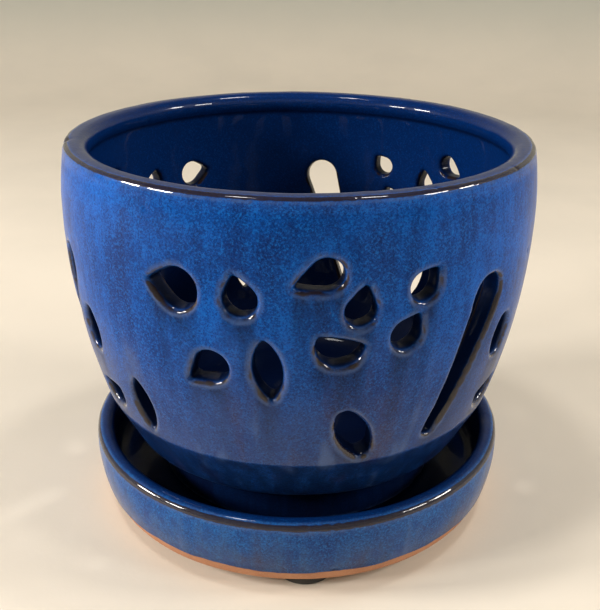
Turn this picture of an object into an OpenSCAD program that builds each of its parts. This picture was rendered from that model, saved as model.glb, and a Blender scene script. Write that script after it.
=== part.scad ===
// Orchid pot with cut slots, standing in its own saucer on three rubber foot pads.
// Millimetres, +Z up. The origin is on the table, under the middle of the pot.
// Angles round the pot are counted from the front (-Y) towards +X.

/* [Pot] */
// Width across the outer edge of the rim
rim_d = 152; // [136:1:176]
// Height from the bottom of the foot ring to the outer edge of the rim
pot_h = 118.5; // [105:0.5:140]
// How far the belly swells past the rim on each side
belly_swell = 2; // [1:0.25:5]
// How far the widest place of the belly lies below the edge of the rim
belly_drop = 21.5; // [16:0.5:28]
// Thickness of the wall
wall = 7; // [5.5:0.25:8]
// Width across the crease where the belly turns under
crease_d = 137; // [128:1:142]
// Height of the crease above the bottom of the foot ring
crease_h = 35; // [30:0.5:40]
// Width across the lower edge of the undercut
base_d = 120; // [112:1:124]
// Height of the lower edge of the undercut above the bottom of the foot ring
base_h = 18.5; // [16:0.5:22]
// Rounding of the lower edge of the undercut
base_round = 3; // [1.5:0.25:4]

/* [Rim of the pot] */
// Width of the rim from its outer edge to its inner bead
rim_w = 8; // [7.5:0.25:9.5]
// Radius of the bead that rolls over the inner side of the rim
rim_bead_r = 3.8; // [3.2:0.1:4]
// How far the crest of the rim stands above its outer edge
rim_crest = 1.4; // [1:0.1:2]
// Rounding of the outer edge of a rim
edge_round = 1.3; // [0.8:0.1:1.6]

/* [Foot ring and floor] */
// Width across the foot ring
foot_d = 100; // [90:1:106]
// Height of the foot ring where it meets the underside
foot_h = 12; // [9:0.5:13]
// Thickness of the foot ring
foot_w = 7; // [5:0.5:10]
// Height of the middle of the underside above the bottom of the foot ring
foot_hollow = 9; // [6:0.5:10]
// Thickness of the floor
floor_t = 8; // [6:0.5:9]
// Radius of the curve between the wall and the floor inside
floor_fillet = 13; // [8:0.5:16]
// Width of the drain hole in the floor
drain_d = 18; // [12:1:26]

/* [Slots] */
// Number of panels of slots round the pot, each behind a long slot
panels = 3; // [2:1:3]
// Size of the small slots against the hand-cut sizes
slot_size = 1; // [0.85:0.05:1.1]
// Length of a long slot
long_l = 54; // [44:1:58]
// Width of a long slot at its wide upper end
long_top_w = 12; // [9:0.5:13]
// Width of a long slot at its narrow lower end
long_low_w = 4.4; // [3:0.2:6]
// Lean of a long slot from the upright
long_lean = 17; // [10:1:22]
// Height of the middle of a long slot, as a share of the way from the crease to the rim
long_up = 0.36; // [0.34:0.01:0.4]
// Depth of the softened shoulder round the mouth of each slot
shoulder = 1.2; // [0.6:0.1:1.6]

/* [Saucer] */
// Width across the edge of the saucer
saucer_d = 147; // [143:1:160]
// Height from the underside of the saucer to the outer edge of its rim
saucer_h = 22.7; // [18:0.1:30]
// How far the wall of the saucer swells between its edge and its foot band
saucer_swell = 0.8; // [0.3:0.1:2]
// Width of the saucer's rim from its outer edge to its inner side
saucer_rim_w = 6; // [5.4:0.1:7]
// Radius of the bead that rolls over the inner side of the saucer's rim
saucer_bead_r = 2.8; // [2.4:0.1:3]
// How far the crest of the saucer's rim stands above its outer edge
saucer_crest = 2.2; // [1.2:0.1:2.6]
// Thickness of the saucer's wall
saucer_wall = 5.4; // [4.5:0.1:6]
// Thickness of the saucer's floor
saucer_floor = 7; // [5:0.5:9]
// Radius of the curve between the saucer's wall and floor inside
saucer_fillet = 5; // [3:0.5:7]
// Height of the bare clay foot band
band_h = 4.9; // [3:0.1:7]
// How far the foot band draws in at its top
band_in = 1.8; // [1:0.1:2.5]
// How far the foot band draws in at its bottom
band_low_in = 3.8; // [3:0.1:5]
// Depth of the hollow under the saucer
saucer_hollow = 1.5; // [0.5:0.1:2.5]
// Width of the flat ring under the saucer, which carries the foot pads
saucer_ring_w = 26; // [24:0.5:30]

/* [Foot pads] */
// Number of rubber foot pads
pads = 3; // [3:1:6]
// Width of a foot pad
pad_d = 20; // [12:0.5:22]
// Thickness of a foot pad
pad_h = 3.2; // [2:0.1:5]
// How far the foot pads sit in from the bottom edge of the saucer
pad_inset = 2; // [1:0.5:4]
// Rounding of the worn lower edge of a foot pad
pad_bevel = 0.8; // [0.3:0.1:1.2]

/* [Fit] */
// Gap between the foot ring and the saucer's floor
seat_gap = 0.3; // [0.1:0.1:1]

/* [Hidden] */

$fn = 96;
ARC_FN = 360;   // facets on the long curves of the profiles
EPS = 0.01;     // overlap of curves that touch
LAP = 2;        // overlap of shapes that are joined
REACH = 14;     // how far a slot's cutter reaches into the wall
OVER = 3;       // how far it stands out of the wall
TIP_IN = 0.1;   // how much each side of a pointed end starts inside its round

GLAZE = [0.10, 0.25, 0.58];
RUBBER = [0.08, 0.08, 0.07];

// heights above the table
saucer_z = pad_h;
saucer_edge_z = saucer_z + saucer_h;
saucer_floor_z = saucer_z + saucer_floor;
foot_z = saucer_floor_z + seat_gap;
rim_z = foot_z + pot_h;
belly_z = rim_z - belly_drop;
crease_z = foot_z + crease_h;
base_z = foot_z + base_h;
hollow_z = foot_z + foot_hollow;
floor_z = hollow_z + floor_t;

// radii
rim_r = rim_d / 2;
belly_r = rim_r + belly_swell;
crease_r = crease_d / 2;
base_r = base_d / 2;
foot_r = foot_d / 2;
saucer_r = saucer_d / 2;
saucer_base_r = saucer_r - band_low_in;
pad_ring_r = saucer_base_r - pad_inset - pad_d / 2;

// the two arcs of the pot's outside meet at the belly, where both stand upright
upper_arc_r = arc_radius(belly_drop, belly_swell);
lower_arc_r = arc_radius(belly_z - crease_z, belly_r - crease_r);
under_turn = atan2(crease_r - base_r, crease_z - base_z);
UNDER_UP = [sin(under_turn), cos(under_turn)];

// Where each panel starts, round from the front: the middle of its long slot
PANEL_AT = [-71.5, 41, 167.5];
PANEL_SPAN = [112.5, 126.5, 121];

// How the drops of each panel differ from those in the table: their size and their height
DROP_SIZE = [1, 0.8, 0.75];
DROP_UP = [1, 0.97, 0.95];

// The small slots of one panel, cut by hand in a scattered pattern:
// [shape, share of the way round the panel, share of the way from the crease to the rim,
//  turn of its upper end towards the left, length, width]
PANEL = [
    ["oval", 0.12, 0.38,    0, 14.0, 10.0],
    ["moon", 0.14, 0.10,    8, 13.0,  8.0],
    ["leaf", 0.27, 0.145,   4, 19.5,  8.0],
    ["drop", 0.40, 0.69,   82, 15.5, 12.0],
    ["drop", 0.46, 0.40,  128, 14.0, 10.0],
    ["drop", 0.53, 0.69,   14, 12.0,  9.5],
    ["leaf", 0.58, 0.42,    6, 20.0,  8.0],
    ["drop", 0.67, 0.76,  112, 14.0,  9.0],
    ["moon", 0.71, 0.49,  -14, 13.5,  8.5],
    ["drop", 0.75, 0.66,  -10, 12.0,  8.5],
    ["oval", 0.755, 0.135, 24, 20.0,  9.0],
    ["drop", 0.845, 0.545, -32, 11.5,  9.0],
    ["drop", 0.875, 0.71,  -40, 10.5,  8.5]
];

// Radius of an arc that stands upright at one end and draws in by sag over a height of rise
function arc_radius(rise, sag) = (rise * rise + sag * sag) / (2 * sag);

// Slope of the pot's outside at height z: degrees by which it faces downwards
function face_down(z) =
    z >= belly_z ? -asin(min(1, (z - belly_z) / upper_arc_r))
                 : asin(min(1, (belly_z - z) / lower_arc_r));

// Radius of the pot's outside at height z, above the crease
function outside_r(z) =
    belly_r - (z >= belly_z ? upper_arc_r : lower_arc_r) * (1 - cos(face_down(z)));

// Points where the upper common tangent touches two circles, first the outer, then the inner
function crest_points(c1, r1, c2, r2) =
    let (d = c2 - c1, turn = atan2(d[1], d[0]) - acos((r1 - r2) / norm(d)))
    [c1 + r1 * [cos(turn), sin(turn)], c2 + r2 * [cos(turn), sin(turn)]];

// Centre of the arc of radius r that bulges outwards through a lower and an upper point
function bulge_centre(low, high, r) =
    let (half = (high - low) / 2, reach = sqrt(r * r - half * half))
    low + half + [-half[1], half[0]] * (reach / norm(half));

// Band of a profile between two heights, out past everything else
module height_band(low, high)
    translate([0, low]) square([rim_d, high - low]);

// Rolled rim in section: a small round at the outer edge and a bead at the inner side
module rolled_rim(outer_r, edge_z, w, bead_r, crest) {
    edge_c = [outer_r - edge_round, edge_z];
    bead_c = [outer_r - w + bead_r, edge_z + crest - bead_r];
    top = crest_points(edge_c, edge_round - EPS, bead_c, bead_r - EPS);
    translate(edge_c) circle(edge_round);
    translate(bead_c) circle(bead_r);
    polygon([top[0], top[1], bead_c, [edge_c[0], bead_c[1]], edge_c]);
}

// The pot's outline above height low, moved inwards by t
module pot_form(t, low) {
    intersection() {
        translate([belly_r - upper_arc_r, belly_z]) circle(upper_arc_r - t, $fn = ARC_FN);
        height_band(belly_z, rim_z);
    }
    intersection() {
        translate([belly_r - lower_arc_r, belly_z]) circle(lower_arc_r - t, $fn = ARC_FN);
        height_band(low, belly_z);
    }
}

// Everything inside the slope of the undercut and above a line that leaves their corner along
// the unit vector inward, with the corner rounded to radius r
module slope_form(corner, inward, r) {
    top = corner + UNDER_UP * pot_h;
    turn = acos(UNDER_UP * inward) / 2;
    round_c = corner + (UNDER_UP + inward) / norm(UNDER_UP + inward) * (r / sin(turn));
    difference() {
        polygon([corner - inward * (corner[0] / inward[0]), corner, top, [0, top[1]]]);
        polygon([corner - EPS * (UNDER_UP + inward), corner + UNDER_UP * (r / tan(turn)),
                 round_c, corner + inward * (r / tan(turn))]);
    }
    translate(round_c) circle(r + EPS);
}

// The outside of the pot: the undercut and the sloping underside meet in a rounded edge
module outside_form() {
    edge = [base_r, base_z];
    root = [foot_r, foot_z + foot_h];
    intersection() {
        pot_form(0, hollow_z);
        slope_form(edge, (root - edge) / norm(root - edge), base_round);
    }
}

// The hollow of the pot, with a curve between its wall and its floor
module hollow_form() {
    top_r = belly_r - lower_arc_r + sqrt(pow(lower_arc_r - wall, 2) - pow(belly_z - crease_z, 2));
    corner = [top_r - tan(under_turn) * (crease_z - floor_z), floor_z];
    intersection() {
        pot_form(wall, floor_z);
        slope_form(corner, [-1, 0], floor_fillet);
    }
}

// A section turned round the pot's axis
module turned() rotate_extrude($fn = ARC_FN) children();

// A round of radius r and height h on the pot's axis, from height z upwards
module round_at(z, h, r) translate([0, 0, z]) cylinder(h = h, r = r, $fn = ARC_FN);

module pot_wall() {
    difference() {
        union() {
            turned() outside_form();
            round_at(foot_z, foot_h + LAP, foot_r);
        }
        turned() hollow_form();
        round_at(foot_z - EPS, foot_hollow + EPS, foot_r - foot_w);
        round_at(foot_z - EPS, floor_z - foot_z + LAP, drain_d / 2);
    }
    turned() rolled_rim(rim_r, rim_z, rim_w, rim_bead_r, rim_crest);
}

// Cutter of round outline: straight through the wall, opening out at its mouth
module disc_cut(r)
    rotate_extrude() polygon([[0, -REACH], [r, -REACH], [r, -shoulder],
                              [r + shoulder + OVER, OVER], [0, OVER]]);

// Two arcs that meet in a point at each end
module leaf_cut(l, w) {
    r = (l * l + w * w) / (4 * w);
    intersection_for (side = [-1, 1]) translate([side * (r - w / 2), 0, 0]) disc_cut(r);
}

// A leaf with blunt ends
module oval_cut(l, w) {
    intersection() {
        leaf_cut(l * 1.2, w);
        disc_cut(l / 2);
    }
}

// A round that draws out to a point at its upper end, between two long arcs that leave the round
module drop_cut(l, w) {
    r = w / 2;
    tip_y = l - r;
    arc_r = 2.5 * l;
    arc_y = (tip_y * tip_y + r * r - 2 * arc_r * r) / (2 * tip_y);
    arc_x = sqrt(pow(arc_r - r, 2) - arc_y * arc_y) + TIP_IN;
    leave_y = -arc_y * r / (arc_r - r);
    translate([0, r - l / 2, 0]) {
        disc_cut(r);
        intersection() {
            intersection_for (side = [-1, 1]) translate([side * arc_x, arc_y, 0]) disc_cut(arc_r);
            translate([0, leave_y + l / 2, 0]) cube([2 * l, l, 4 * REACH], center = true);
        }
    }
}

// A round below an almost flat upper edge
module moon_cut(l, w) {
    flat_r = 3 * l;
    intersection() {
        translate([0, (l - w) / 2, 0]) disc_cut(l / 2);
        translate([0, w / 2 - flat_r, 0]) disc_cut(flat_r);
    }
}

// A blade, wide and round above, drawn in below
module long_cut() {
    top_r = long_top_w / 2;
    low_r = long_low_w / 2;
    top_y = long_l / 2 - top_r;
    low_y = low_r - long_l / 2;
    lean = asin((top_r - low_r) / (top_y - low_y));
    rim = [cos(lean), -sin(lean)];
    module ends(over_r, z, h) {
        translate([0, top_y, z]) cylinder(h = h, r1 = top_r, r2 = top_r + over_r);
        translate([0, low_y, z]) cylinder(h = h, r1 = low_r, r2 = low_r + over_r);
    }
    ends(0, -REACH, REACH + OVER);
    translate([0, 0, -REACH]) linear_extrude(REACH + OVER)
        polygon([for (p = [[top_y, top_r, 1], [top_y, top_r, -1], [low_y, low_r, -1], [low_y, low_r, 1]])
            [0, p[0]] + (p[1] - EPS) * [p[2] * rim[0], rim[1]]]);
    hull() ends(shoulder + OVER, -shoulder, shoulder + OVER, $fn = 32);
}

module slot_cut(shape, l, w) {
    if (shape == "leaf") leaf_cut(l, w);
    if (shape == "oval") oval_cut(l, w);
    if (shape == "drop") drop_cut(l, w);
    if (shape == "moon") moon_cut(l, w);
}

// Stands a cutter on the pot's outside, its +Z square to the wall and its +Y up the wall
module on_wall(around, up_share, turn) {
    z = crease_z + up_share * (rim_z - crease_z);
    rotate(around) translate([0, -outside_r(z), z])
        rotate([90 + face_down(z), 0, 0]) rotate(turn) children();
}

module slots() {
    for (p = [0:panels - 1]) {
        on_wall(PANEL_AT[p], long_up, -long_lean) long_cut();
        for (s = PANEL) {
            size = slot_size * (s[0] == "drop" ? DROP_SIZE[p] : 1);
            up = s[2] * (s[0] == "drop" ? DROP_UP[p] : 1);
            on_wall(PANEL_AT[p] + s[1] * PANEL_SPAN[p], up, s[3])
                slot_cut(s[0], s[4] * size, s[5] * size);
        }
    }
}

module pot() {
    color(GLAZE) difference() {
        pot_wall();
        slots();
    }
}

// The saucer's wall in section, between its foot band and its edge
module saucer_wall_form() {
    low = [saucer_r - band_in, saucer_z + band_h];
    high = [saucer_r, saucer_edge_z];
    bulge_r = norm(high - low) * norm(high - low) / (8 * saucer_swell) + saucer_swell / 2;
    intersection() {
        translate(bulge_centre(low, high, bulge_r)) circle(bulge_r, $fn = ARC_FN);
        height_band(low[1], high[1]);
    }
    polygon([[0, saucer_z], [saucer_base_r, saucer_z], low, [0, low[1]]]);
}

module saucer_section() {
    inside_r = saucer_r - saucer_wall;
    fillet_c = [inside_r - saucer_fillet, saucer_floor_z + saucer_fillet];
    difference() {
        saucer_wall_form();
        translate([-EPS, fillet_c[1]]) square([inside_r + EPS, saucer_edge_z]);
        translate([-EPS, saucer_floor_z]) square([fillet_c[0] + EPS, saucer_edge_z]);
        translate(fillet_c) circle(saucer_fillet);
        translate([-EPS, saucer_z - EPS])
            square([saucer_base_r - saucer_ring_w + EPS, saucer_hollow + EPS]);
    }
    rolled_rim(saucer_r, saucer_edge_z, saucer_rim_w, saucer_bead_r, saucer_crest);
}

module saucer() {
    color(GLAZE) turned() saucer_section();
}

module foot_pad(i) {
    color(RUBBER) rotate(3 + (i - 1) * 360 / pads) translate([0, -pad_ring_r, 0]) {
        cylinder(h = pad_bevel, r1 = pad_d / 2 - pad_bevel, r2 = pad_d / 2);
        translate([0, 0, pad_bevel]) cylinder(h = pad_h - pad_bevel, r = pad_d / 2);
    }
}

pot();
saucer();
for (i = [1:pads])
    foot_pad(i);
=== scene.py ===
"""Looks of a glazed orchid pot with cut slots, standing in its saucer on three rubber pads."""

from __future__ import annotations

import logging
import math
from dataclasses import dataclass
from enum import Enum
from typing import Any

import bpy
import numpy as np
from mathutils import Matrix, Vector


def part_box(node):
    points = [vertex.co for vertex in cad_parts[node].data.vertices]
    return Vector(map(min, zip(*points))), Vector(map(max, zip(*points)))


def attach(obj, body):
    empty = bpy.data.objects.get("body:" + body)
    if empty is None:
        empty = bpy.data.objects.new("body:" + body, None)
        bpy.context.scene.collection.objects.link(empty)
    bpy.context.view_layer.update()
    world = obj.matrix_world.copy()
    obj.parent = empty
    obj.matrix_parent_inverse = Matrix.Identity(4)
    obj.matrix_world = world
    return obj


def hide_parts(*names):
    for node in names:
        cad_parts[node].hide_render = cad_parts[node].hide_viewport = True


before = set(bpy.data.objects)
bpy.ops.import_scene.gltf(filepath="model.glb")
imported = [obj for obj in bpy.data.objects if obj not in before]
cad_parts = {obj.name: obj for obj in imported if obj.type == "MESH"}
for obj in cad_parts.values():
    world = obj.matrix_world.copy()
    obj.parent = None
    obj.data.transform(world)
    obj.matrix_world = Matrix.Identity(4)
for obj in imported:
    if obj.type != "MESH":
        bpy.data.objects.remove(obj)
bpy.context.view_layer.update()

import openvdb
from mathutils import Matrix, Vector

LOG = logging.getLogger("orchid_pot")
MM = 0.001

Colour = tuple[float, float, float, float]
Span = tuple[float, float]
Triple = tuple[float, float, float]


# ---- shader graphs


class Maths(Enum):
    """What a Math node does with its values."""

    ADD = "ADD"
    SUBTRACT = "SUBTRACT"
    MULTIPLY = "MULTIPLY"
    MULTIPLY_ADD = "MULTIPLY_ADD"


class Field(Enum):
    """Values that a glazed surface carries at its points for its finish."""

    EDGE = "edge"
    # Darkening in hollows: partly pooled glaze, partly painted shade; at the pot's foot it is
    # painted shade.
    POOL_AND_SHADE = "pool"
    INSIDE = "inside"
    INNER = "inner"
    # Painted shade in the slot bores.
    BORE_SHADE = "bore_shade"
    # Dark glaze runs under the slots, plus painted shade on the undercut below the crease.
    RUN_AND_SHADE = "run_and_shade"
    BARE = "bare"


@dataclass(frozen=True)
class Pattern:
    """Cloudy noise: its waves in a millimetre, its finer octaves and its squash in height."""

    per_mm: float
    detail: float = 2.0
    rough: float = 0.5
    squash: float = 1.0


class Wire:
    """A shader socket that takes part in Python expressions."""

    def __init__(self, graph: Graph, socket: bpy.types.NodeSocket | None) -> None:
        """Wraps one output socket.

        Args:
            graph: the graph that the socket belongs to.
            socket: the output socket, if its node has one.
        """
        self.graph = graph
        self.socket = socket

    def maths(self, operation: Maths, *others: Wire | float, clamp: bool = False) -> Wire:
        """Adds a Math node on this value.

        Args:
            operation: what the node does.
            others: its second and third values.
            clamp: whether its result is held between 0 and 1.

        Returns:
            The node's result.
        """
        settings = {"operation": operation.value, "use_clamp": clamp}
        values = dict(enumerate((self, *others)))
        return self.graph.node("ShaderNodeMath", settings, values)

    def __add__(self, other: Wire | float) -> Wire:
        """Sum."""
        return self.maths(Maths.ADD, other)

    def __sub__(self, other: Wire | float) -> Wire:
        """Difference."""
        return self.maths(Maths.SUBTRACT, other)

    def __mul__(self, other: Wire | float) -> Wire:
        """Product."""
        return self.maths(Maths.MULTIPLY, other)

    def __rsub__(self, other: float) -> Wire:
        """A number less this value."""
        return self.maths(Maths.MULTIPLY_ADD, -1.0, other)

    __radd__ = __add__
    __rmul__ = __mul__

    def clamped(self) -> Wire:
        """This value held between 0 and 1."""
        return self.maths(Maths.ADD, 0.0, clamp=True)

    def step(self, low: float, high: float) -> Wire:
        """Smooth step of this value.

        Args:
            low: value at which the step is 0.
            high: value at which the step is 1. It may be the lower one.

        Returns:
            A value from 0 to 1.
        """
        settings = {"interpolation_type": "SMOOTHSTEP"}
        sockets = {"Value": self, "From Min": low, "From Max": high, "To Min": 0.0, "To Max": 1.0}
        if low > high:
            sockets |= {"From Min": high, "From Max": low, "To Min": 1.0, "To Max": 0.0}
        return self.graph.node("ShaderNodeMapRange", settings, sockets)


class Graph:
    """Node graph of one material, made empty."""

    def __init__(self, name: str) -> None:
        """Makes the material.

        Args:
            name: the material's name.
        """
        self.material = bpy.data.materials.new(name)
        self.material.use_nodes = True
        self.tree = self.material.node_tree
        self.tree.nodes.clear()
        self.places: dict[float, Wire] = {}

    def node(
        self,
        kind: str,
        settings: dict[str, Any],
        sockets: dict[str | int, Any],
        output: str | int = 0,
    ) -> Wire:
        """Adds any node.

        Args:
            kind: the node's type.
            settings: its settings, which are set first.
            sockets: a value or a wire for each input, by name or number.
            output: the output to return, where the node has one.

        Returns:
            The wire from that output.
        """
        made = self.tree.nodes.new(kind)
        for setting, value in settings.items():
            setattr(made, setting, value)
        for key, value in sockets.items():
            if isinstance(value, Wire):
                self.tree.links.new(value.socket, made.inputs[key])
            else:
                made.inputs[key].default_value = value
        return Wire(self, made.outputs[output] if len(made.outputs) else None)

    def mixed(self, low: Wire | Colour, high: Wire | Colour, share: Wire | float) -> Wire:
        """Lays one colour over another.

        Args:
            low: the colour below.
            high: the colour on top.
            share: how much of it shows.

        Returns:
            The blended colour.
        """
        settings = {"data_type": "RGBA", "clamp_factor": True}
        return self.node("ShaderNodeMix", settings, {0: share, 6: low, 7: high}, 2)

    def place(self, squash: float = 1.0) -> Wire:
        """The point on the object, in millimetres.

        Args:
            squash: factor on its height, under 1 to draw a pattern out downwards.

        Returns:
            The place as a vector.
        """
        if squash not in self.places:
            here = self.node("ShaderNodeTexCoord", {}, {}, "Object")
            sockets = {0: here, 1: (1.0 / MM, 1.0 / MM, squash / MM)}
            scaled = self.node("ShaderNodeVectorMath", {"operation": "MULTIPLY"}, sockets)
            self.places[squash] = scaled
        return self.places[squash]

    def height(self) -> Wire:
        """Height on the object, in millimetres."""
        return self.node("ShaderNodeSeparateXYZ", {}, {0: self.place()}, 2)

    def noise(self, pattern: Pattern) -> Wire:
        """Cloudy noise from 0 to 1.

        Args:
            pattern: how fine it is.

        Returns:
            The noise value.
        """
        sockets = {
            "Vector": self.place(pattern.squash),
            "Scale": pattern.per_mm,
            "Detail": pattern.detail,
            "Roughness": pattern.rough,
        }
        return self.node("ShaderNodeTexNoise", {}, sockets)

    def field(self, field: Field) -> Wire:
        """A value that the mesh carries.

        Args:
            field: which one.

        Returns:
            Its value.
        """
        return self.node("ShaderNodeAttribute", {"attribute_name": field.value}, {}, "Fac")

    def bump(self, height: Wire, depth_mm: float, normal: Wire | None = None) -> Wire:
        """Fine relief.

        Args:
            height: the relief, from 0 to 1.
            depth_mm: its full depth.
            normal: the relief that it is laid on.

        Returns:
            The normal.
        """
        sockets = {"Strength": 1.0, "Distance": depth_mm * MM, "Height": height}
        if normal is not None:
            sockets["Normal"] = normal
        return self.node("ShaderNodeBump", {}, sockets)

    def finish(self, sockets: dict[str, Any]) -> bpy.types.Material:
        """Ends the graph in a Principled shader.

        Args:
            sockets: the shader's values and wires.

        Returns:
            The material.
        """
        shader = self.node("ShaderNodeBsdfPrincipled", {}, sockets)
        self.node("ShaderNodeOutputMaterial", {}, {"Surface": shader})
        return self.material


# ---- finishes


@dataclass(frozen=True)
class GlazePatterns:
    """The noises that a glaze is made of."""

    cloud: Pattern = Pattern(0.035, 3.0)
    streak: Pattern = Pattern(0.22, 4.0, 0.6, 0.10)
    grain: Pattern = Pattern(1.5, 3.0, 0.65)
    fine: Pattern = Pattern(3.4, 2.0, 0.6)
    band: Pattern = Pattern(0.075, 3.0, 0.55, 0.16)
    mottle: Pattern = Pattern(0.26, 3.0, 0.6)
    milk_and_sheen: Pattern = Pattern(0.10, 2.0, 0.5, 0.12)
    peel: Pattern = Pattern(0.55, 2.0)


@dataclass(frozen=True)
class GlazeSpans:
    """Values of each mask at which its layer starts and at which it is full."""

    wash: Span = (0.45, 0.90)
    band: Span = (0.50, 0.66)
    flecks: Span = (0.47, 0.67)
    gaps: Span = (0.52, 0.36)
    mottle: Span = (0.46, 0.66)
    milk_and_sheen: Span = (0.58, 0.74)
    run_and_shade: Span = (0.30, 0.60)
    pool: Span = (0.05, 0.20)
    halo_out: Span = (0.05, 0.16)
    halo_in: Span = (0.30, 0.20)
    halo_streak: Span = (0.30, 0.62)
    thin: Span = (0.25, 0.32)
    lip: Span = (0.16, 0.26)


@dataclass(frozen=True)
class GlazeShares:
    """How strongly each layer shows. The ones named lower are added low on the piece."""

    wash_cloud: float = 0.70
    wash_streak: float = 0.60
    dusk: float = 0.80
    plum: float = 0.12
    plum_lower: float = 0.58
    flecks: float = 0.68
    flecks_lower: float = -0.34
    gaps: float = 0.58
    mottle: float = 0.40
    milk_and_sheen: float = 0.65
    run_and_shade: float = 0.85
    run_even: float = 0.50
    inner_flecks: float = 0.22
    # The next three shares: painted shade low inside, in the slot bores, and in hollows (partly
    # pooled glaze).
    inner_low_shade: float = 0.80
    bore_shade: float = 0.85
    pool: float = 0.90
    halo_and_sheen: float = 0.45
    thin: float = 0.92


@dataclass(frozen=True)
class GlazeGloss:
    """What the glaze's shine is made of: roughness of the body and weight of the clear coat."""

    rough: float = 0.28
    rough_thin: float = 0.10
    rough_flecks: float = 0.06
    rough_lower: float = 0.10
    rough_clay: float = 0.82
    body_level: float = 0.04
    coat_rough: float = 0.025
    coat_ior: float = 1.5
    coat_lower: float = 0.42
    coat_lip: float = 0.80
    coat_crest: float = 0.40
    inner_loss: float = 0.75
    crest_mm: float = 3.0
    peel_mm: float = 0.05
    grain_mm: float = 0.10
    grain_share: float = 0.25


@dataclass(frozen=True)
class BareClay:
    """Fired clay, blushed and sandy, where the glaze ends."""

    clay: Colour = (0.480, 0.240, 0.140, 1.0)
    blush: Colour = (0.360, 0.160, 0.090, 1.0)
    sand: Colour = (0.700, 0.450, 0.310, 1.0)
    blush_pattern: Pattern = Pattern(0.09, 2.0)
    sand_pattern: Pattern = Pattern(1.6, 5.0, 0.7)
    blush_span: Span = (0.35, 0.70)
    sand_span: Span = (0.52, 0.75)
    blush_share: float = 0.60
    sand_share: float = 0.50

    def colour(self, graph: Graph, sand: Wire) -> Wire:
        """The clay's colour.

        Args:
            graph: the graph that it is made in.
            sand: the noise of its grains.

        Returns:
            The colour.
        """
        blush = graph.noise(self.blush_pattern).step(*self.blush_span)
        colour = graph.mixed(self.clay, self.blush, blush * self.blush_share)
        return graph.mixed(colour, self.sand, sand.step(*self.sand_span) * self.sand_share)


@dataclass(frozen=True)
class Glaze:
    """Floating blue glaze that runs thin and dark on edges, and darkens in corners partly as
    pooled glaze and partly as painted shade.
    """

    name: str
    azure: Colour = (0.001, 0.086, 0.430, 1.0)
    cobalt: Colour = (0.001, 0.024, 0.150, 1.0)
    dusk: Colour = (0.010, 0.032, 0.135, 1.0)
    plum: Colour = (0.026, 0.018, 0.062, 1.0)
    # haze: pale blue of the halos and of the milky patches low down, partly painted sheen and
    # reflection.
    haze_and_sheen: Colour = (0.060, 0.110, 0.260, 1.0)
    fleck: Colour = (0.005, 0.148, 0.530, 1.0)
    # ink: near black of the dark specks, and painted shade in bores, hollows, the undercut and
    # low inside.
    ink_and_shade: Colour = (0.0008, 0.004, 0.020, 1.0)
    # inner: darker blue of the insides, painted shade.
    inner: Colour = (0.0010, 0.015, 0.085, 1.0)
    rust: Colour = (0.016, 0.009, 0.007, 1.0)
    clay: BareClay = BareClay()
    patterns: GlazePatterns = GlazePatterns()
    spans: GlazeSpans = GlazeSpans()
    shares: GlazeShares = GlazeShares()
    gloss: GlazeGloss = GlazeGloss()
    dusk_low_mm: float = 48.0
    dusk_high_mm: float = 98.0
    dusk_wander_mm: float = 45.0
    top_mm: float = 128.0
    least_coat: float = 0.14
    fleck_coarse: float = 0.65
    gap_coarse: float = 0.60
    edge_grain: float = 0.05
    edge_cloud: float = 0.08

    def dress(self) -> bpy.types.Material:
        """Builds the material."""
        return GlazeGraph(self).done()


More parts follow.
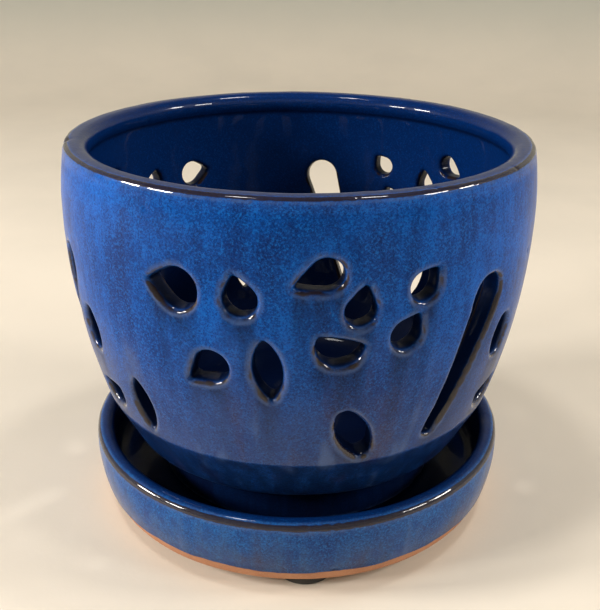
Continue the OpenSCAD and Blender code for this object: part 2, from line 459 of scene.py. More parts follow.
class GlazeGraph(Graph):
    """Graph of a glaze, with the noises and masks that several of its layers share."""

    def __init__(self, glaze: Glaze) -> None:
        """Makes the shared noises and masks.

        Args:
            glaze: the glaze that they are for.
        """
        super().__init__(glaze.name)
        self.glaze = glaze
        patterns, spans, wander = glaze.patterns, glaze.spans, glaze.dusk_wander_mm
        self.up = self.height()
        self.cloud = self.noise(patterns.cloud)
        self.streak = self.noise(patterns.streak)
        self.grain = self.noise(patterns.grain)
        self.sand = self.noise(glaze.clay.sand_pattern)
        fine = self.noise(patterns.fine)
        line = self.up + (self.streak - 0.5) * wander + (self.cloud - 0.5) * wander
        self.low_down = line.step(glaze.dusk_high_mm, glaze.dusk_low_mm)
        coarse = glaze.fleck_coarse
        self.flecks = (self.grain * coarse + fine * (1.0 - coarse)).step(*spans.flecks)
        coarse = glaze.gap_coarse
        self.gaps = (self.grain * coarse + fine * (1.0 - coarse)).step(*spans.gaps)
        self.inside = self.field(Field.INSIDE)
        self.bare = self.field(Field.BARE)
        self.glazed = 1.0 - self.bare
        grainy = (self.grain - 0.5) * glaze.edge_grain
        cloudy = (self.cloud - 0.5) * glaze.edge_cloud
        self.brink = self.field(Field.EDGE) + grainy + cloudy
        self.thin = self.brink.step(*spans.thin)

    def done(self) -> bpy.types.Material:
        """Lays the layers and ends the graph.

        Returns:
            The material.
        """
        gloss = self.glaze.gloss
        colour = self.broken(self.mixed(self.outside(), self.shaded_lining(), self.inside))
        clay = self.glaze.clay.colour(self, self.sand)
        return self.finish(
            {
                "Base Color": self.mixed(colour, clay, self.bare),
                "Roughness": self.roughness(),
                "Normal": self.relief(),
                "Specular IOR Level": gloss.body_level,
                "Coat Weight": self.coat(),
                "Coat Roughness": gloss.coat_rough,
                "Coat IOR": gloss.coat_ior,
            }
        )

    def outside(self) -> Wire:
        """Mottled blue, dusky and streaked lower down, with pale patches that are partly painted
        sheen and dark runs that below the crease are painted shade.

        Returns:
            The colour of the outside.
        """
        glaze, low_down = self.glaze, self.low_down
        spans, shares = glaze.spans, glaze.shares
        wash = self.cloud * shares.wash_cloud + self.streak * shares.wash_streak
        colour = self.mixed(glaze.azure, glaze.cobalt, wash.step(*spans.wash))
        colour = self.mixed(colour, glaze.dusk, low_down * shares.dusk)
        band = self.noise(glaze.patterns.band).step(*spans.band)
        plum = band * (shares.plum + low_down * shares.plum_lower)
        colour = self.mixed(colour, glaze.plum, plum)
        flecks = self.flecks * (shares.flecks + low_down * shares.flecks_lower)
        colour = self.mixed(colour, glaze.fleck, flecks)
        colour = self.mixed(colour, glaze.ink_and_shade, self.gaps * shares.gaps)
        mottle = self.noise(glaze.patterns.mottle).step(*spans.mottle)
        colour = self.mixed(colour, glaze.cobalt, mottle * shares.mottle)
        # Pale milky patches low down, partly painted sheen.
        milk_and_sheen = self.noise(glaze.patterns.milk_and_sheen).step(*spans.milk_and_sheen)
        colour = self.mixed(colour, glaze.haze_and_sheen, milk_and_sheen * low_down * shares.milk_and_sheen)
        torn = self.streak.step(*spans.run_and_shade) * (1.0 - shares.run_even) + shares.run_even
        run_and_shade = (self.field(Field.RUN_AND_SHADE) * torn).clamped()
        return self.mixed(colour, glaze.ink_and_shade, run_and_shade * shares.run_and_shade)

    def shaded_lining(self) -> Wire:
        """Darker blue for the insides, which is painted shade, with a few flecks, and painted
        shade near black lower down.

        Returns:
            The colour of the inside.
        """
        glaze = self.glaze
        colour = self.mixed(glaze.inner, glaze.azure, self.flecks * glaze.shares.inner_flecks)
        # Painted shade: the inside darkens towards black lower down.
        low = self.up.step(glaze.dusk_high_mm, glaze.dusk_low_mm)
        return self.mixed(colour, glaze.ink_and_shade, low * glaze.shares.inner_low_shade)

    def broken(self, colour: Wire) -> Wire:
        """Lays on painted shade in the slot bores, dark corners that are partly pooled glaze and
        partly painted shade, pale halos that are partly painted reflection, and thin brown edges.

        Args:
            colour: the glaze's colour without them.

        Returns:
            The colour with them.
        """
        glaze, brink = self.glaze, self.brink
        spans, shares = glaze.spans, glaze.shares
        colour = self.mixed(colour, glaze.ink_and_shade, self.field(Field.BORE_SHADE) * shares.bore_shade)
        pool = self.field(Field.POOL_AND_SHADE).step(*spans.pool)
        colour = self.mixed(colour, glaze.ink_and_shade, pool * shares.pool)
        # Pale rings round the slots: thinner glaze, partly painted reflection.
        halo_and_sheen = brink.step(*spans.halo_out) * brink.step(*spans.halo_in) * (1.0 - self.inside)
        halo_and_sheen = halo_and_sheen * self.streak.step(*spans.halo_streak)
        colour = self.mixed(colour, glaze.haze_and_sheen, halo_and_sheen * shares.halo_and_sheen)
        return self.mixed(colour, glaze.rust, self.thin * shares.thin)

    def roughness(self) -> Wire:
        """Roughness under the clear coat, and of the clay.

        Returns:
            The roughness.
        """
        gloss = self.glaze.gloss
        rough = gloss.rough + self.thin * gloss.rough_thin + self.flecks * gloss.rough_flecks
        rough = rough + self.low_down * gloss.rough_lower
        return rough * self.glazed + self.bare * gloss.rough_clay

    def relief(self) -> Wire:
        """The glaze's faint peel and grain, and the clay's sand.

        Returns:
            The normal.
        """
        gloss = self.glaze.gloss
        peel = self.bump(self.noise(self.glaze.patterns.peel), gloss.peel_mm)
        grain = self.grain * self.glazed * gloss.grain_share
        return self.bump(grain + self.sand * self.bare, gloss.grain_mm, peel)

    def coat(self) -> Wire:
        """Weight of the clear coat: most on lips and rim, least high on the wall.

        Returns:
            The weight.
        """
        glaze, gloss = self.glaze, self.glaze.gloss
        lip = self.brink.step(*glaze.spans.lip)
        crest = self.up.step(glaze.top_mm - gloss.crest_mm, glaze.top_mm)
        sheen = self.low_down * gloss.coat_lower + lip * gloss.coat_lip
        sheen = (sheen + crest * gloss.coat_crest).clamped()
        weight = glaze.least_coat + sheen * (1.0 - glaze.least_coat)
        return self.glazed * (1.0 - self.field(Field.INNER) * gloss.inner_loss) * weight


@dataclass(frozen=True)
class SaucerGlaze(Glaze):
    """The same glaze as it lies on the saucer, where it is shinier and dusky from low down."""

    azure: Colour = (0.003, 0.105, 0.380, 1.0)
    dusk: Colour = (0.016, 0.048, 0.140, 1.0)
    fleck: Colour = (0.014, 0.170, 0.470, 1.0)
    dusk_low_mm: float = 5.0
    dusk_high_mm: float = 30.0
    least_coat: float = 0.40


@dataclass(frozen=True)
class PadRubber:
    """Dull black rubber with dusty patches."""

    name: str
    black: Colour = (0.018, 0.018, 0.017, 1.0)
    dust: Colour = (0.110, 0.100, 0.088, 1.0)
    grain: Pattern = Pattern(3.0, 3.0, 0.7)
    cloud: Pattern = Pattern(0.30, 3.0)
    worn_span: Span = (0.48, 0.72)
    dust_share: float = 0.50
    rough: float = 0.62
    rough_worn: float = 0.25
    grain_mm: float = 0.08

    def dress(self) -> bpy.types.Material:
        """Builds the material.

        Returns:
            The material.
        """
        graph = Graph(self.name)
        grain = graph.noise(self.grain)
        worn = (grain * 0.5 + graph.noise(self.cloud) * 0.5).step(*self.worn_span)
        return graph.finish(
            {
                "Base Color": graph.mixed(self.black, self.dust, worn * self.dust_share),
                "Roughness": self.rough + worn * self.rough_worn,
                "Normal": graph.bump(grain, self.grain_mm),
            }
        )


@dataclass(frozen=True)
class PalePlaster:
    """Pale floor and backdrop with faint clouds; the backdrop is greyer and darker, partly its
    own colour and partly painted shade.
    """

    name: str
    pale: Colour = (0.82, 0.73, 0.61, 1.0)
    cool: Colour = (0.76, 0.68, 0.57, 1.0)
    # wall: greyer, darker backdrop, partly painted shade.
    wall: Colour = (0.52, 0.51, 0.44, 1.0)
    cloud: Pattern = Pattern(0.008, 4.0)
    grain: Pattern = Pattern(0.6, 3.0)
    cloud_span: Span = (0.35, 0.75)
    wall_span_mm: Span = (0.0, 120.0)
    rough: float = 0.62
    rough_grain: float = 0.10
    grain_mm: float = 0.03

    def dress(self) -> bpy.types.Material:
        """Builds the material.

        Returns:
            The material.
        """
        graph = Graph(self.name)
        cloud = graph.noise(self.cloud).step(*self.cloud_span)
        grain = graph.noise(self.grain)
        floor = graph.mixed(self.pale, self.cool, cloud)
        return graph.finish(
            {
                "Base Color": graph.mixed(
                    floor, self.wall, graph.height().step(*self.wall_span_mm)
                ),
                "Roughness": self.rough + grain * self.rough_grain,
                "Normal": graph.bump(grain, self.grain_mm),
            }
        )


# ---- surfaces


# Share of a value that a point takes from its neighbours in one round.
SPREAD = 0.6


@dataclass
class Skin:
    """Closed surface of quads or triangles, in millimetres, with values at its points."""

    points: np.ndarray
    faces: np.ndarray
    fields: dict[Field, np.ndarray]

    @classmethod
    def of_node(cls, name: str) -> Skin:
        """The surface of a CAD node.

        Args:
            name: the node.

        Returns:
            Its triangles.
        """
        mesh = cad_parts[name].data
        points = np.empty(len(mesh.vertices) * 3, np.float32)
        mesh.vertices.foreach_get("co", points)
        mesh.calc_loop_triangles()
        corners = np.empty(len(mesh.loop_triangles) * 3, np.int32)
        mesh.loop_triangles.foreach_get("vertices", corners)
        return cls(points.reshape(-1, 3) / np.float32(MM), corners.reshape(-1, 3), {})

    def triangles(self) -> np.ndarray:
        """Its faces as triangles."""
        if self.faces.shape[1] == 3:
            return self.faces
        return np.concatenate([self.faces[:, [0, 1, 2]], self.faces[:, [0, 2, 3]]])

    def offset(self, by_mm: float, cell_mm: float, spare_cells: float = 2.0) -> Skin:
        """The surface at an even distance from this one.

        Args:
            by_mm: distance outwards.
            cell_mm: size of its cells.
            spare_cells: how far past the new surface the distances are worked out.

        Returns:
            The new surface, of quads.
        """
        grid = openvdb.FloatGrid.createLevelSetFromPolygons(
            self.points.astype(np.float32),
            triangles=self.triangles().astype(np.int32),
            transform=openvdb.createLinearTransform(voxelSize=cell_mm),
            halfWidth=abs(by_mm) / cell_mm + spare_cells,
        )
        points, _, quads = grid.convertToPolygons(isovalue=by_mm)
        return Skin(points.astype(np.float64), quads.astype(np.int64)[:, ::-1], {}).outward()

    def outward(self) -> Skin:
        """This surface with its faces turned outwards."""
        a, b, c = (self.points[self.triangles()[:, k]] for k in range(3))
        if np.einsum("ij,ij->i", a, np.cross(b, c)).sum() < 0:
            self.faces = self.faces[:, ::-1]
        return self

    def neighbours_mean(self, values: np.ndarray) -> np.ndarray:
        """Mean of a value over each point's neighbours.

        Args:
            values: one row for each point.

        Returns:
            The means.
        """
        tail = self.faces.ravel()
        head = np.roll(self.faces, -1, axis=1).ravel()
        count = np.bincount(tail, minlength=len(self.points))
        columns = values.reshape(len(self.points), -1).T
        sums = [np.bincount(tail, column[head], len(self.points)) for column in columns]
        return (np.array(sums) / np.maximum(count, 1)).T.reshape(values.shape)

    def softened(self, values: np.ndarray, rounds: int) -> np.ndarray:
        """A value spread over its neighbours.

        Args:
            values: one row for each point.
            rounds: how often.

        Returns:
            The spread values.
        """
        for _ in range(rounds):
            values = (1.0 - SPREAD) * values + SPREAD * self.neighbours_mean(values)
        return values

    def normals(self) -> np.ndarray:
        """Outward normals at the points."""
        if self.faces.shape[1] == 4:
            a, b, c, d = (self.points[self.faces[:, k]] for k in range(4))
            across = np.cross(c - a, d - b)
        else:
            a, b, c = (self.points[self.faces[:, k]] for k in range(3))
            across = np.cross(b - a, c - a)
        total = np.zeros_like(self.points)
        for corner in range(self.faces.shape[1]):
            for axis in range(3):
                total[:, axis] += np.bincount(
                    self.faces[:, corner], across[:, axis], len(self.points)
                )
        return total / np.maximum(np.linalg.norm(total, axis=1, keepdims=True), 1e-9)

    def sink(self, depth_mm: np.ndarray) -> None:
        """Moves the points inwards, square to the surface.

        Args:
            depth_mm: how far each one goes.
        """
        self.points -= self.normals() * depth_mm[:, None]

    def radii(self) -> np.ndarray:
        """Distances of the points from the pot's axis."""
        return np.hypot(self.points[:, 0], self.points[:, 1])

    def heights(self) -> np.ndarray:
        """Heights of the points."""
        return self.points[:, 2]

    def to_object(self, name: str, most_faces: int) -> bpy.types.Object:
        """Makes the Blender object, thinned where it is plain.

        Args:
            name: the piece's name.
            most_faces: the most triangles that it keeps.

        Returns:
            The object.
        """
        corners = self.faces.shape[1]
        mesh = bpy.data.meshes.new(name)
        mesh.vertices.add(len(self.points))
        mesh.vertices.foreach_set("co", (self.points * MM).astype(np.float32).ravel())
        mesh.loops.add(self.faces.size)
        mesh.loops.foreach_set("vertex_index", self.faces.astype(np.int32).ravel())
        mesh.polygons.add(len(self.faces))
        starts = np.arange(0, self.faces.size, corners, dtype=np.int32)
        mesh.polygons.foreach_set("loop_start", starts)
        mesh.update(calc_edges=True)
        for field, values in self.fields.items():
            layer = mesh.attributes.new(field.value, "FLOAT", "POINT")
            layer.data.foreach_set("value", values.astype(np.float32))
        made = bpy.data.objects.new(name, mesh)
        bpy.context.scene.collection.objects.link(made)
        triangles = len(self.faces) * (corners - 2)
        if triangles > most_faces:
            thin = made.modifiers.new("thin", "DECIMATE")
            thin.ratio = most_faces / triangles
            ready = made.evaluated_get(bpy.context.evaluated_depsgraph_get())
            made.data = bpy.data.meshes.new_from_object(ready)
            made.modifiers.clear()
            bpy.data.meshes.remove(mesh)
            made.data.name = name
        made.data.shade_smooth()
        return made


@dataclass(frozen=True)
class Ripple:
    """Smooth random field, a sum of plane waves of about one length, drawn from a seed."""

    wave_mm: float
    seed: int
    waves: int = 28
    shortest: float = 0.6
    longest: float = 1.5

    def at(self, points: np.ndarray) -> np.ndarray:
        """The field's value.

        Args:
            points: where, in millimetres.

        Returns:
            Values mostly between -1 and 1.
        """
        draw = np.random.default_rng(self.seed)
        way = draw.normal(size=(3, self.waves))
        way /= np.linalg.norm(way, axis=0)
        lengths = draw.uniform(self.shortest, self.longest, self.waves)
        way = way * lengths * (2 * math.pi / self.wave_mm)
        phase = draw.uniform(0, 2 * math.pi, self.waves)
        return np.cos(points @ way + phase).sum(axis=1) * (math.sqrt(2 / self.waves) / 2)


def stepped(values: np.ndarray, low: float, high: float) -> np.ndarray:
    """Smooth step.

    Args:
        values: what is stepped.
        low: value at which the step is 0.
        high: value at which the step is 1. It may be the lower one.

    Returns:
        Values from 0 to 1.
    """
    share = np.clip((values - low) / (high - low), 0.0, 1.0)
    return share * share * (3.0 - 2.0 * share)


# ---- sub-assemblies


@dataclass
class Fired:
    """What the pot and the saucer share: soft edges, an uneven skin and a bare clay foot."""

    cell_mm: float = 0.55
    quick_coarser: float = 1.5
    round_mm: float = 0.9
    soften_rounds: int = 2
    shoulder_rounds: int = 18
    shoulder_share: float = 0.15
    edge_rounds: int = 3
    edge_most: float = 1.5
    pool_and_shade_rounds: int = 14
    pool_and_shade_most: float = 1.0
    broad_wave_mm: float = 34.0
    broad_depth_mm: float = 0.16
    broad_share: float = 0.42
    small_wave_mm: float = 9.0
    small_depth_mm: float = 0.03
    pit_r_mm: Span = (0.6, 1.1)
    pit_deep_mm: float = 0.30
    line_waves_mm: tuple[Span, Span] = ((26.0, 0.45), (7.0, 0.20))
    line_soft_mm: float = 0.25
    glaze_mm: float = 0.35
    glaze_soft_mm: float = 0.30
    roll_mm: float = 0.15
    roll_above_mm: float = 0.7
    roll_wide_mm: float = 0.6
    most_faces: int = 190_000

    def softened_node(self, node: str) -> Skin:
        """The CAD node's surface with its outward edges rounded, as glaze rounds them.

        Args:
            node: the CAD node.

        Returns:
            The rounded surface.
        """
        cell = self.cell()
        skin = Skin.of_node(node).offset(-self.round_mm, cell).offset(self.round_mm, cell)
        skin.points = skin.softened(skin.points, self.soften_rounds)
        wide = skin.softened(skin.points, self.shoulder_rounds)
        skin.points += self.shoulder_share * (wide - skin.points)
        return skin

    def cell(self) -> float:
        return self.cell_mm * 1.0

    def mark_edges(self, skin: Skin) -> None:
        """Stores how sharply the surface turns outwards (EDGE) and inwards (the field of pooled
        glaze and painted shade), per mm.

        Args:
            skin: the surface.
        """
        outwards = self.turning(skin, self.edge_rounds)
        inwards = -self.turning(skin, self.pool_and_shade_rounds)
        skin.fields[Field.EDGE] = np.clip(outwards, 0.0, self.edge_most)
        skin.fields[Field.POOL_AND_SHADE] = np.clip(inwards, 0.0, self.pool_and_shade_most)

    def turning(self, skin: Skin, rounds: int) -> np.ndarray:
        """Sum of the two curvatures, outwards positive, in 1/mm.

        Args:
            skin: the surface.
            rounds: how widely it is averaged.

        Returns:
            The curvature at each point.
        """
        away = skin.points - skin.softened(skin.points, rounds)
        sag = np.einsum("ij,ij->i", away, skin.normals())
        return skin.softened(sag, 2) * 4.0 / (SPREAD * rounds * self.cell() ** 2)

    def uneven(self, skin: Skin, seed: int) -> None:
        """Sinks the skin a little here and there, as a cast and glazed surface is.

        Args:
            skin: the surface.
            seed: of the waves.
        """
        broad = Ripple(self.broad_wave_mm, seed).at(skin.points)
        small = Ripple(self.small_wave_mm, seed + 1).at(skin.points)
        depth = self.broad_depth_mm * (0.5 - self.broad_share * broad)
        skin.sink(np.clip(depth + self.small_depth_mm * (0.5 - small), 0.0, None))

    def pit(self, skin: Skin, count: int, seed: int) -> None:
        """Sinks a few pinholes where bubbles burst in the glaze.

        Args:
            skin: the surface.
            count: how many there are.
            seed: of their places.
        """
        draw = np.random.default_rng(seed)
        normals = skin.normals()
        for spot in draw.integers(0, len(skin.points), count):
            radius = draw.uniform(*self.pit_r_mm)
            away = skin.points - skin.points[spot]
            near = np.flatnonzero(np.einsum("ij,ij->i", away, away) < (3 * radius) ** 2)
            share = np.exp(-np.einsum("ij,ij->i", away[near], away[near]) / radius**2)
            skin.points[near] -= normals[spot] * (self.pit_deep_mm * share)[:, None]

    def leave_bare(self, skin: Skin, line_mm: float, seed: int) -> None:
        """Stores where the clay is bare (BARE), and sinks it below the glaze's rolled edge.

        Args:
            skin: the surface.
            line_mm: height at which the glaze ends.
            seed: of the line's waves.
        """
        (long, high), (short, low) = self.line_waves_mm
        wander = high * Ripple(long, seed).at(skin.points)
        wander += low * Ripple(short, seed + 1).at(skin.points)
        above = skin.heights() - line_mm - wander
        skin.fields[Field.BARE] = stepped(above, self.line_soft_mm, -self.line_soft_mm)
        roll = np.exp(-(((above - self.roll_above_mm) / self.roll_wide_mm) ** 2))
        depth = self.glaze_mm * stepped(above, self.glaze_soft_mm, -self.glaze_soft_mm)
        skin.sink(np.clip(depth - self.roll_mm * roll, 0.0, None))


@dataclass
class SlottedPot(Fired):
    """The pot: rolled rim, slotted wall, floor with its drain hole, foot ring."""

    piece: str = "glazed_pot"
    wall_mm: float = 7.0
    clay_line_mm: float = 11.3
    crease_mm: float = 45.5
    base_mm: float = 29.0
    bead_mm: float = 119.0
    bead_soft_mm: float = 2.0
    wave_seed: int = 11
    line_seed: int = 17
    pits: int = 34
    pit_seed: int = 41
    edge_level: float = 0.86
    edge_upward: float = 0.24
    # The next four set the painted shade below the crease and on the foot ring.
    undercut_shade_share: float = 0.80
    undercut_shade_span_mm: Span = (0.4, -0.8)
    foot_shade_share: float = 0.16
    foot_span_mm: Span = (1.0, -3.0)
    # The next three set where the darker lining (painted shade) and the painted shade of the slot
    # bores begin.
    inside_span_mm: Span = (0.7, 1.6)
    bore_span_mm: Span = (0.8, 2.4)
    bore_end_mm: Span = (0.2, -1.4)
    inner_span_mm: Span = (-2.2, -0.6)
    nick_at_mm: Triple = (-74.5, -14.0, 129.6)
    nick_stretch: Triple = (1.0, 1.0, 0.6)
    nick_r_mm: float = 2.0
    nick_deep_mm: float = 0.9
    nick_edge: float = 0.35
    wall_bins: int = 240
    lip_depth_mm: Span = (0.6, 5.0)
    lip_upward: float = 0.35
    lip_heights_mm: Span = (40.0, 120.0)
    run_length_mm: float = 13.0
    run_lengths: Span = (0.25, 1.6)
    run_seed: int = 5
    run_bins: tuple[int, int] = (1440, 260)
    run_width_bins: int = 8
    run_length_rounds: int = 6
    run_sheet_rounds: int = 3
    run_depth_mm: Span = (1.6, 0.6)

    def build(self, glaze: bpy.types.Material) -> bpy.types.Object:
        """Makes and dresses the pot.

        Args:
            glaze: its finish.

        Returns:
            The piece.
        """
        skin = self.softened_node("pot")
        self.mark_edges(skin)
        skin.fields[Field.EDGE] *= self.edge_level + self.edge_upward * skin.normals()[:, 2]
        depth = self.depth_in_wall(skin)
        self.uneven(skin, self.wave_seed)
        self.pit(skin, self.pits, self.pit_seed)
        self.nick(skin)
        self.leave_bare(skin, self.clay_line_mm, self.line_seed)
        self.mark_zones(skin, depth)
        made = skin.to_object(self.piece, self.most_faces)
        made.data.materials.append(glaze)
        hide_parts("pot")
        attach(made, "pot")
        return made

    def mark_zones(self, skin: Skin, depth: np.ndarray) -> None:
        """Stores where the glaze runs, the painted shade below the crease, on the foot and in the
        slot bores, and where the darker lining, which is painted shade, covers the pot's inside
        and its slots.

        Args:
            skin: the pot's surface.
            depth: each point's depth in the wall.
        """
        heights, wall, bead = skin.heights(), self.wall_mm, self.bead_mm
        # Painted shade on the undercut below the crease, carried in the same field as the glaze
        # runs.
        starts, ends = self.undercut_shade_span_mm
        under = stepped(heights, self.crease_mm + starts, self.crease_mm + ends)
        runs = self.runs(skin, depth)
        skin.fields[Field.RUN_AND_SHADE] = np.maximum(runs, self.undercut_shade_share * under)
        # Painted shade on the foot ring down in the saucer, laid into the hollows' field.
        starts, ends = self.foot_span_mm
        foot = self.foot_shade_share * stepped(heights, self.base_mm + starts, self.base_mm + ends)
        skin.fields[Field.POOL_AND_SHADE] = np.maximum(skin.fields[Field.POOL_AND_SHADE], foot)
        # The inside and the slot walls take the darker lining, which is painted shade.
        skin.fields[Field.INSIDE] = stepped(depth, *self.inside_span_mm)
        low = stepped(heights, bead + self.bead_soft_mm, bead - self.bead_soft_mm)
        starts, ends = self.inner_span_mm
        skin.fields[Field.INNER] = stepped(depth, wall + starts, wall + ends) * low
        # Painted shade in the slot bores, from the outside up to the lining.
        starts, ends = self.bore_end_mm
        before_lining = stepped(depth, wall + starts, wall + ends)
        skin.fields[Field.BORE_SHADE] = stepped(depth, *self.bore_span_mm) * before_lining * low

    def nick(self, skin: Skin) -> None:
        """Sinks the small flaw in the glaze on the rim.

        Args:
            skin: the pot's surface.
        """
        away = np.linalg.norm((skin.points - self.nick_at_mm) * self.nick_stretch, axis=1)
        share = np.exp(-((away / self.nick_r_mm) ** 2))
        skin.sink(self.nick_deep_mm * share)
        skin.fields[Field.EDGE] += self.nick_edge * share

    def depth_in_wall(self, skin: Skin) -> np.ndarray:
        """How far each point lies behind the pot's outside.

        Args:
            skin: the pot's surface.

        Returns:
            Depths in millimetres, up to the wall's thickness and more.
        """
        heights = skin.heights()
        low, high = heights.min(), heights.max()
        last = self.wall_bins - 0.001
        bins = ((heights - low) / (high - low) * last).astype(int)
        outside = np.zeros(self.wall_bins)
        np.maximum.at(outside, bins, skin.radii())
        return outside[bins] - skin.radii()

    def runs(self, skin: Skin, depth: np.ndarray) -> np.ndarray:
        """Dark runs of glaze below the lower lips of the slots.

        Args:
            skin: the pot's surface.
            depth: each point's depth in the wall.

        Returns:
            Strength of the run at each point.
        """
        across, up = self.run_bins
        heights = skin.heights()
        turn = np.arctan2(skin.points[:, 1], skin.points[:, 0]) / (2 * math.pi) + 0.5
        column = np.minimum((turn * across).astype(int), across - 1)
        row_mm = (heights.max() + 1.0) / up
        row = (heights / row_mm).astype(int)
        shallow, deep = self.lip_depth_mm
        low, high = self.lip_heights_mm
        lips = (depth < deep) & (depth > shallow) & (skin.normals()[:, 2] > self.lip_upward)
        lips &= (heights > low) & (heights < high)
        sheet = np.zeros((up, across))
        sheet[row[lips], column[lips]] = 1.0
        fade = np.exp(-row_mm / self.run_reach(across))
        for level in range(up - 2, -1, -1):
            sheet[level] = np.maximum(sheet[level], sheet[level + 1] * fade)
        for _ in range(self.run_sheet_rounds):
            sheet = (np.roll(sheet, 1, axis=1) + sheet + np.roll(sheet, -1, axis=1)) / 3
        return sheet[row, column] * stepped(depth, *self.run_depth_mm)

    def run_reach(self, across: int) -> np.ndarray:
        """How far down the runs reach, in millimetres.

        Args:
            across: number of columns round the pot.

        Returns:
            The reach in each column.
        """
        draw = np.random.default_rng(self.run_seed)
        wide = self.run_width_bins
        reach = np.repeat(draw.uniform(*self.run_lengths, across // wide), wide)
        reach = reach * self.run_length_mm
        for _ in range(self.run_length_rounds):
            reach = (np.roll(reach, 1) + reach + np.roll(reach, -1)) / 3
        return reach


@dataclass
class DripSaucer(Fired):
    """The saucer: rolled rim, floor, bare clay foot band."""

    piece: str = "glazed_saucer"
    clay_line_mm: float = 8.1
    lip_mm: float = 71.8
    lip_soft_mm: float = 0.6
    wave_seed: int = 23
    line_seed: int = 29
    pits: int = 12
    pit_seed: int = 43
    inside_upward: Span = (-0.3, -0.1)
    inner_span_mm: Span = (25.0, 22.0)
    glazed_above_mm: float = 9.0
    outer_span_mm: Span = (-0.4, 0.6)
    rim_span_mm: Span = (21.0, 23.5)
    edge_level: float = 0.6
    edge_rim: float = 1.1

    def build(self, glaze: bpy.types.Material) -> bpy.types.Object:
        """Makes and dresses the saucer.

        Args:
            glaze: its finish.

        Returns:
            The piece.
        """
        skin = self.softened_node("saucer")
        self.mark_edges(skin)
        self.uneven(skin, self.wave_seed)
        self.pit(skin, self.pits, self.pit_seed)
        within = stepped(
            skin.radii(), self.lip_mm + self.lip_soft_mm, self.lip_mm - self.lip_soft_mm
        )
        # The saucer's inside takes the darker lining, which is painted shade.
        skin.fields[Field.INSIDE] = within * stepped(skin.normals()[:, 2], *self.inside_upward)
        skin.fields[Field.INNER] = within * stepped(skin.heights(), *self.inner_span_mm)
        self.leave_bare(skin, self.clay_line_mm, self.line_seed)
        glazed = (within > 0.5) & (skin.heights() > self.glazed_above_mm)
        skin.fields[Field.BARE] *= np.where(glazed, 0.0, 1.0)
        skin.fields[Field.RUN_AND_SHADE] = np.zeros(len(skin.points))
        skin.fields[Field.BORE_SHADE] = np.zeros(len(skin.points))
        starts, ends = self.outer_span_mm
        outer = stepped(skin.radii(), self.lip_mm + starts, self.lip_mm + ends)
        rim = stepped(skin.heights(), *self.rim_span_mm) * outer
        skin.fields[Field.EDGE] *= self.edge_level + rim * self.edge_rim
        made = skin.to_object(self.piece, self.most_faces)
        made.data.materials.append(glaze)
        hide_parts("saucer")
        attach(made, "saucer")
        return made


@dataclass
class FootPads:
    """The stick-on rubber pads, each in its CAD place."""

    turns: int = 96
    dish_mm: float = 0.35
    dish_share: float = 0.72
    dish_flat_share: float = 0.60
    dish_wall_mm: float = 0.5
    dish_step_mm: float = 0.05
    edge_mm: float = 0.9
    edge_steps: int = 6
    side_mm: tuple[Span, ...] = ((0.06, 1.6), (0.10, 0.2))
    crown_mm: tuple[Span, ...] = ((0.25, 0.5), (0.60, 0.1), (1.20, 0.0))

    def build(self, rubber: bpy.types.Material) -> list[bpy.types.Object]:
        """Makes a pad for each CAD node of a pad.

        Args:
            rubber: their finish.

        Returns:
            The pieces.
        """
        made = []
        for node in sorted(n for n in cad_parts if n.startswith("foot_pad")):
            low, high = (np.array(corner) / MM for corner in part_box(node))
            pad = self.pad(f"rubber_{node}", (low + high) / 2, (high - low) / 2)
            pad.data.materials.append(rubber)
            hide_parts(node)
            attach(pad, "saucer")
            made.append(pad)
        return made

    def profile(self, r: float, h: float) -> np.ndarray:
        """The pad's half section: dished underside, round edge, side and crowned top.

        Args:
            r: the pad's radius, in millimetres.
            h: half its height.

        Returns:
            Radius and height of each ring, from the middle of the underside to that of the top.
        """
        lip, edge, floor = self.dish_share * r, self.edge_mm, self.dish_mm - h
        points = [(0.0, floor), (lip * self.dish_flat_share, floor), (lip, floor)]
        points += [(lip + self.dish_wall_mm, self.dish_step_mm - h), (lip + edge, -h)]
        for k in range(self.edge_steps + 1):
            turn = math.radians(-90 + 90 * k / self.edge_steps)
            points.append((r - edge + edge * math.cos(turn), -h + edge + edge * math.sin(turn)))
        (low_in, low_up), (high_in, high_up) = self.side_mm
        points += [(r - low_in, low_up - h), (r - high_in, high_up)]
        points += [(r - inwards, h - down) for inwards, down in self.crown_mm]
        return np.array([*points, (0.0, h)])

    def pad(self, name: str, middle: np.ndarray, half: np.ndarray) -> bpy.types.Object:
        """One pad, turned from its half section.

        Args:
            name: the piece's name.
            middle: its middle, in millimetres.
            half: half its size along each axis.

        Returns:
            The piece.
        """
        rings = self.profile(half[0], half[2])
        angles = np.arange(self.turns) * (2 * math.pi / self.turns)
        across = middle[0] + rings[:, :1] * np.cos(angles)
        along = middle[1] + rings[:, :1] * np.sin(angles)
        up = middle[2] + np.repeat(rings[:, 1:], self.turns, axis=1)
        grid = np.stack([across, along, up], axis=-1)
        sides = grid[1:-1].reshape(-1, 3)
        points = np.concatenate([sides, grid[0, :1], grid[-1, :1]])
        bottom, top, n = len(sides), len(sides) + 1, self.turns
        last = (len(rings) - 3) * n
        faces = []
        for start in range(0, last, n):
            for j in range(n):
                here, after = start + j, start + (j + 1) % n
                faces += [(here, after, after + n), (here, after + n, here + n)]
        for j in range(n):
            after = (j + 1) % n
            faces += [(bottom, after, j), (top, last + j, last + after)]
        skin = Skin(points, np.array(faces), {}).outward()
        return skin.to_object(name, len(faces) + 1)


# ---- studio


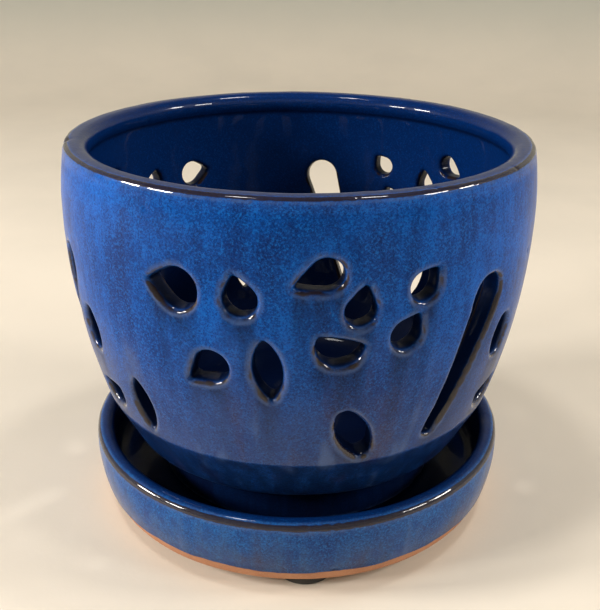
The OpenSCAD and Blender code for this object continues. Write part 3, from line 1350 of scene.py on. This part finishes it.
@dataclass(frozen=True)
class Lamp:
    """A soft lamp: where it hangs and its width and height in metres, its power and colour."""

    name: str
    place: Triple
    size_m: Span
    watts: float
    colour: Triple
    aim_m: Triple = (0.0, 0.0, 0.06)

    def hang(self) -> None:
        """Adds the lamp, facing the pot."""
        data = bpy.data.lights.new(self.name, "AREA")
        data.shape = "RECTANGLE"
        data.size, data.size_y = self.size_m
        data.energy = self.watts
        data.color = self.colour
        lamp = bpy.data.objects.new(self.name, data)
        lamp.location = self.place
        aim = Vector(self.aim_m) - Vector(self.place)
        lamp.rotation_euler = aim.to_track_quat("-Z", "Y").to_euler()
        bpy.context.scene.collection.objects.link(lamp)


SIDE, TOP = (0.18, 0.12), (0.13, 0.13)
LAMPS = (
    Lamp("lamp_left_front", (-0.84, -0.40, 0.46), SIDE, 4.7, (1.0, 0.97, 0.93)),
    Lamp("lamp_left_back", (-0.92, -0.12, 0.46), SIDE, 6.5, (1.0, 0.97, 0.93)),
    Lamp("lamp_right_front", (0.82, -0.36, 0.54), SIDE, 2.4, (1.0, 0.96, 0.91)),
    Lamp("lamp_right_back", (0.90, -0.08, 0.54), SIDE, 3.6, (1.0, 0.96, 0.91)),
    Lamp("lamp_top_left", (-0.30, -0.10, 1.15), TOP, 2.3, (1.0, 0.98, 0.95)),
    Lamp("lamp_top_right", (0.34, 0.06, 1.15), TOP, 2.3, (1.0, 0.98, 0.95)),
)


@dataclass
class Studio:
    """Pale floor and backdrop, two pairs of side lamps, two overhead lamps and the camera."""

    sides: int = 96
    sweep_from_m: float = 0.75
    sweep_r_m: float = 0.45
    sweep_steps: int = 16
    wall_m: float = 1.4
    lamps: tuple[Lamp, ...] = LAMPS
    sky_colour: Colour = (0.86, 0.90, 1.0, 1.0)
    sky_strength: float = 0.10
    eye_m: Triple = (0.0, -0.2865, 0.1936)
    eye_down_deg: float = 23.7
    eye_left_deg: float = -0.14
    eye_roll_deg: float = 0.62
    lens_mm: float = 52.44
    sensor_mm: float = 36.0
    sight_m: Span = (0.01, 20.0)

    def build(self, plaster: bpy.types.Material) -> None:
        """Sets the stage.

        Args:
            plaster: the floor's finish.
        """
        self.sweep(plaster)
        for lamp in self.lamps:
            lamp.hang()
        self.sky()
        self.camera()
        bpy.context.scene.view_settings.view_transform = "Standard"

    def sweep(self, plaster: bpy.types.Material) -> None:
        """The round floor, which curves up into a backdrop on all sides.

        Args:
            plaster: its finish.
        """
        profile = [(self.sweep_from_m, 0.0)]
        for k in range(1, self.sweep_steps + 1):
            turn = math.radians(90 * k / self.sweep_steps)
            rise = self.sweep_r_m * (1 - math.cos(turn))
            profile.append((self.sweep_from_m + self.sweep_r_m * math.sin(turn), rise))
        profile.append((profile[-1][0], self.wall_m))
        turns = [2 * math.pi * k / self.sides for k in range(self.sides)]
        points = [(r * math.cos(a), r * math.sin(a), z) for r, z in profile for a in turns]
        faces = [tuple(range(self.sides))]
        for start in range(0, (len(profile) - 1) * self.sides, self.sides):
            for k in range(self.sides):
                here, after = start + k, start + (k + 1) % self.sides
                faces.append((here, here + self.sides, after + self.sides, after))
        mesh = bpy.data.meshes.new("backdrop")
        mesh.from_pydata(points, [], faces)
        mesh.shade_smooth()
        floor = bpy.data.objects.new("backdrop", mesh)
        bpy.context.scene.collection.objects.link(floor)
        floor.data.materials.append(plaster)

    def sky(self) -> None:
        """An even pale surrounding light."""
        world = bpy.data.worlds.new("surround")
        world.use_nodes = True
        ground = world.node_tree.nodes["Background"]
        ground.inputs["Color"].default_value = self.sky_colour
        ground.inputs["Strength"].default_value = self.sky_strength
        bpy.context.scene.world = world

    def camera(self) -> None:
        """The camera where the photograph was taken from."""
        data = bpy.data.cameras.new("camera")
        data.sensor_fit = "HORIZONTAL"
        data.sensor_width = self.sensor_mm
        data.lens = self.lens_mm
        data.clip_start, data.clip_end = self.sight_m
        camera = bpy.data.objects.new("camera", data)
        turn = Matrix.Rotation(math.radians(self.eye_left_deg), 4, "Z")
        tilt = Matrix.Rotation(math.radians(90.0 - self.eye_down_deg), 4, "X")
        roll = Matrix.Rotation(math.radians(self.eye_roll_deg), 4, "Z")
        camera.matrix_world = Matrix.Translation(self.eye_m) @ turn @ tilt @ roll
        bpy.context.scene.collection.objects.link(camera)
        bpy.context.scene.camera = camera


def main() -> None:
    """Builds the pot, the saucer, its pads and the studio."""
    logging.basicConfig(level=logging.INFO, format="%(name)s: %(message)s")
    glaze = Glaze("floating_blue").dress()
    saucer_glaze = SaucerGlaze("saucer_blue").dress()
    pieces = [SlottedPot().build(glaze), DripSaucer().build(saucer_glaze)]
    pieces += FootPads().build(PadRubber("pad_rubber").dress())
    Studio().build(PalePlaster("plaster").dress())
    for piece in pieces:
        LOG.info("%s: %d faces", piece.name, len(piece.data.polygons))


if __name__ == "__main__":
    main()
